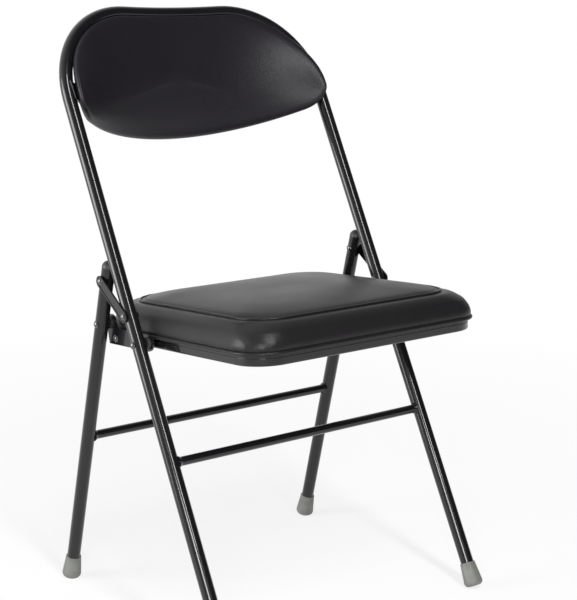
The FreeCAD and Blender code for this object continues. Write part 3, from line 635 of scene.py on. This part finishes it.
def backOutline(inset, count=80):
    half = back["halfWidth"] - inset
    top = back["topRadius"] - inset
    foot = back["footCorner"] + inset
    bend = max(back["footRadius"] - inset, back["leastRadius"])
    points = []
    arcs = [(0, half - top, back["topCentre"], top), (90, top - half, back["topCentre"], top),
            (180, bend - half, foot + bend, bend)]
    for start, x, z, radius in arcs:
        for i in range(count + 1):
            angle = math.radians(start + 90 * i / count)
            points.append(Vector((x + radius * math.cos(angle), z + radius * math.sin(angle))))
    reach = half - bend
    sag = back["footCorner"] - back["footMiddle"]
    for i in range(1, count):
        x = -reach + 2 * reach * i / count
        points.append(Vector((x, foot - sag * (1 - (x / reach) ** 2))))
    for i in range(count + 1):
        angle = math.radians(270 + 90 * i / count)
        points.append(Vector((half - bend + bend * math.cos(angle), foot + bend + bend * math.sin(angle))))
    return spread(points, 6 * count)


def backDepth(x, z):
    # how far the panel's front lies behind the plane of the tubes, less than nothing at its sides
    share = (z - back["low"]) / (back["high"] - back["low"])
    side = back["side"][0] + share * (back["side"][1] - back["side"][0])
    bow = back["bow"][0] + share * (back["bow"][1] - back["bow"][0])
    sag = bow - side
    radius = (back["reach"] ** 2 + sag ** 2) / (2 * sag)
    return bow - radius + math.sqrt(radius ** 2 - x ** 2)


def buildBack():
    centre = Vector((0, back["centreHeight"]))

    def ring(line, edge, crown):
        points = []
        for p in line:
            share = (p.y - back["low"]) / (back["high"] - back["low"])
            rise = back["edge"] * edge + back["crown"] * crown * (1 - (2 * share - 1) ** 2)
            points.append((p.x, backDepth(p.x, p.y) - rise, p.y))
        return points

    def shrunk(share):
        return [centre + (p - centre) * share for p in backOutline(back["roll"][-1][0])]

    rings = [ring(shrunk(share), 0, 0) for share in back["rearShares"]]
    rings += [ring(backOutline(inset), edge, crown) for inset, edge, crown in back["roll"]]
    rings += [ring(shrunk(share), *back["frontRise"]) for share in back["frontShares"]]
    pad = newPiece("backPad", ringMesh("backPad", rings, backPlace))
    smoothShade(pad.data)
    pad.data.materials.clear()
    pad.data.materials.append(finishes["backVinyl"])
    return pad


pad = buildBack()
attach(pad, "back_frame")
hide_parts("backrest_pad")
print("back pad built")


studio = {
    "camera": (-1.2213, -1.57811, 0.82098), "turn": (78.399, -0.549, -38.508), "lens": 90.8, "sensor": 36,
    "shift": (0.0027, -0.0178), "paper": (0.9, 0.9, 0.9), "paperRoughness": 0.9, "paperGloss": 0.1,
    "floorSize": 5, "fade": (0.3, 1.6), "veil": 0.75, "sky": 0.36, "room": 0.05, "sweep": (-0.35, 0.94, 0.0),
    "sweepEdge": (-0.3, 0.6),
    "lamps": [
        ("key", (-1.9, -2.2, 1.1), (0, 0, 0.5), (0.8, 0.8), 40),
        ("strip", (-0.5, -2.1, 2.5), (-0.1, 0, 0.4), (0.35, 2.2), 64),
        ("side", (-2.75, 1.2, 0.95), (0, 0, 0.4), (1.5, 1.9), 72)],
}


def buildWorld():
    # the camera sees white paper all round; reflections see it behind the chair, and a dim room in front
    world = bpy.data.worlds.new("studio")
    world.use_nodes = True
    scene.world = world
    tree = world.node_tree
    tree.nodes.clear()
    path = tree.nodes.new("ShaderNodeLightPath")
    where = tree.nodes.new("ShaderNodeTexCoord")
    toSweep = tree.nodes.new("ShaderNodeVectorMath")
    toSweep.operation = "DOT_PRODUCT"
    toSweep.inputs[1].default_value = studio["sweep"]
    tree.links.new(where.outputs["Generated"], toSweep.inputs[0])
    mirrored = remap(tree, toSweep.outputs["Value"], *studio["sweepEdge"], (studio["room"], 1))
    shiny = mathNode(tree, "MAXIMUM", path.outputs["Is Glossy Ray"], path.outputs["Is Transmission Ray"])
    soft = mathNode(tree, "MULTIPLY", mathNode(tree, "SUBTRACT", 1, shiny), studio["sky"])
    light = mathNode(tree, "ADD", soft, mathNode(tree, "MULTIPLY", shiny, mirrored))
    level = mathNode(tree, "MAXIMUM", path.outputs["Is Camera Ray"], light)
    glow = tree.nodes.new("ShaderNodeBackground")
    glow.inputs["Color"].default_value = (1, 1, 1, 1)
    out = tree.nodes.new("ShaderNodeOutputWorld")
    tree.links.new(level, glow.inputs["Strength"])
    tree.links.new(glow.outputs[0], out.inputs[0])


def buildFloor():
    # white paper that takes the shadow near the feet and runs out to plain white
    mesh = bpy.data.meshes.new("floor")
    bm = bmesh.new()
    bmesh.ops.create_grid(bm, x_segments=1, y_segments=1, size=studio["floorSize"])
    bm.to_mesh(mesh)
    bm.free()
    floor = newPiece("floor", mesh)
    paper, tree, shader = newMaterial("paperFloor")
    shader.inputs["Base Color"].default_value = (*studio["paper"], 1)
    shader.inputs["Roughness"].default_value = studio["paperRoughness"]
    shader.inputs["Specular IOR Level"].default_value = studio["paperGloss"]
    where = tree.nodes.new("ShaderNodeTexCoord")
    away = tree.nodes.new("ShaderNodeVectorMath")
    away.operation = "LENGTH"
    glow = tree.nodes.new("ShaderNodeEmission")
    mix = tree.nodes.new("ShaderNodeMixShader")
    path = tree.nodes.new("ShaderNodeLightPath")
    tree.links.new(where.outputs["Object"], away.inputs[0])
    fade = remap(tree, away.outputs["Value"], *studio["fade"], (studio["veil"], 1))
    seen = mathNode(tree, "MAXIMUM", path.outputs["Is Camera Ray"], path.outputs["Is Glossy Ray"])
    tree.links.new(mathNode(tree, "MULTIPLY", fade, seen), mix.inputs[0])
    tree.links.new(shader.outputs[0], mix.inputs[1])
    tree.links.new(glow.outputs[0], mix.inputs[2])
    tree.links.new(mix.outputs[0], tree.nodes["Material Output"].inputs["Surface"])
    mesh.materials.append(paper)


def buildStudio():
    buildWorld()
    buildFloor()
    for name, place, target, shape, power in studio["lamps"]:
        lamp = bpy.data.lights.new(name, "AREA")
        lamp.shape = "RECTANGLE"
        lamp.size, lamp.size_y = shape
        lamp.energy = power
        holder = bpy.data.objects.new(name, lamp)
        scene.collection.objects.link(holder)
        holder.location = place
        holder.rotation_euler = (Vector(target) - Vector(place)).to_track_quat("-Z", "Y").to_euler()
    camera = bpy.data.cameras.new("photoView")
    camera.lens = studio["lens"]
    camera.sensor_width = studio["sensor"]
    camera.shift_x, camera.shift_y = studio["shift"]
    viewer = bpy.data.objects.new("photoView", camera)
    scene.collection.objects.link(viewer)
    viewer.location = studio["camera"]
    viewer.rotation_euler = [math.radians(a) for a in studio["turn"]]
    scene.camera = viewer
    scene.view_settings.view_transform = "Standard"


buildStudio()
print("studio set")
